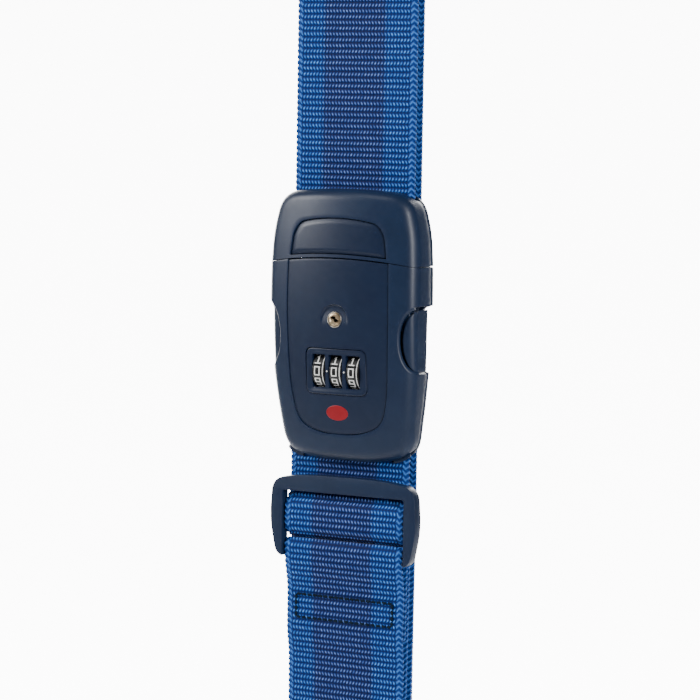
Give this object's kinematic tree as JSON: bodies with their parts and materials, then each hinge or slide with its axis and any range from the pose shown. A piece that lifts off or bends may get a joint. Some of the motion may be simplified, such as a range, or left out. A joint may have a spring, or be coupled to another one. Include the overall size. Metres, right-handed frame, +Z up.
{
  "type": "luggage strap",
  "caption": "Woven luggage strap folded flat into a hank, with a side-release buckle, a number-dial lock, a key cylinder and a webbing slider.",
  "frame": {"origin": "middle of the lock's flat back face", "axes": "+Z up along the strap towards the plug, the face with the dials looks along -Y, +X to the viewer's right"},
  "size_m": [0.0622, 0.0285, 0.3382],
  "materials": {
    "navy_plastic": "fine textured moulded nylon",
    "smooth_plastic": "satin, smoother than the covers",
    "black_plastic": "satin",
    "webbing": "ribbed two-tone polyester webbing, darker along the middle",
    "thread": "twisted polyester sewing thread",
    "steel": "turned and plated",
    "badge": "plain red oval"
  },
  "bodies": {
    "lock": {"lock_front_cover": "navy_plastic", "lock_rear_cover": "navy_plastic", "lock_face_panel": "smooth_plastic", "badge_inlay": "badge", "lock_screw_1": "steel", "lock_screw_2": "steel", "lock_screw_3": "steel", "lock_screw_4": "steel", "dial_bezel": "black_plastic", "dial_axle": "steel", "dial_carrier": "black_plastic", "dial_spring_1": "steel", "dial_spring_2": "steel", "dial_spring_3": "steel", "key_cylinder_housing": "steel", "lock_web_bar": "steel", "stored_webbing": "webbing"},
    "plug": {"plug_front_cover": "navy_plastic", "plug_inset_plate": "smooth_plastic", "plug_rear_cover": "navy_plastic", "plug_web_bar": "steel", "plug_tongue": "navy_plastic", "plug_screw_1": "steel", "plug_screw_2": "steel", "upper_webbing": "webbing"},
    "left_arm": {"release_arm_left": "navy_plastic"},
    "right_arm": {"release_arm_right": "navy_plastic"},
    "first_dial": {"number_dial_1": "black_plastic", "dial_sleeve_1": "steel"},
    "second_dial": {"number_dial_2": "black_plastic", "dial_sleeve_2": "steel"},
    "third_dial": {"number_dial_3": "black_plastic", "dial_sleeve_3": "steel"},
    "key_core": {"key_cylinder": "steel"},
    "latch": {"latch_bolt": "steel", "latch_spring": "steel"},
    "slider": {"slider_frame": "navy_plastic", "main_strap_end": "webbing", "slider_loop_webbing": "webbing", "box_stitching": "thread"}
  },
  "joints": [
    {"name": "plug_release", "type": "slide", "parent": "lock", "child": "plug", "axis": [0, 0, 1], "range_m": [0, 0.045]},
    {"name": "left_arm_squeeze", "type": "hinge", "parent": "plug", "child": "left_arm", "pos_m": [-0.0244, -0.0083, 0.031], "axis": [0, -1, 0], "range_deg": [0, 2.6], "stiffness_Nm_per_rad": 6},
    {"name": "right_arm_squeeze", "type": "hinge", "parent": "plug", "child": "right_arm", "pos_m": [0.0244, -0.0083, 0.031], "axis": [0, 1, 0], "range_deg": [0, 2.6], "stiffness_Nm_per_rad": 6},
    {"name": "first_dial_turn", "type": "hinge", "parent": "lock", "child": "first_dial", "pos_m": [-0.0071, -0.0103, -0.009], "axis": [1, 0, 0], "continuous": true},
    {"name": "second_dial_turn", "type": "hinge", "parent": "lock", "child": "second_dial", "pos_m": [0, -0.0103, -0.009], "axis": [1, 0, 0], "continuous": true},
    {"name": "third_dial_turn", "type": "hinge", "parent": "lock", "child": "third_dial", "pos_m": [0.0071, -0.0103, -0.009], "axis": [1, 0, 0], "continuous": true},
    {"name": "key_turn", "type": "hinge", "parent": "lock", "child": "key_core", "pos_m": [0, -0.015, 0.0102], "axis": [0, 1, 0], "range_deg": [0, 90]},
    {"name": "latch_slide", "type": "slide", "parent": "lock", "child": "latch", "axis": [0, 1, 0], "range_m": [0, 0.0018]},
    {"name": "slider_slide", "type": "slide", "parent": "lock", "child": "slider", "axis": [0, 0, 1], "range_m": [-0.018, 0]}
  ],
  "couplings": [
    {"joint": "latch_slide", "follows": "key_turn", "m_per_rad": 0.0011459}
  ]
}
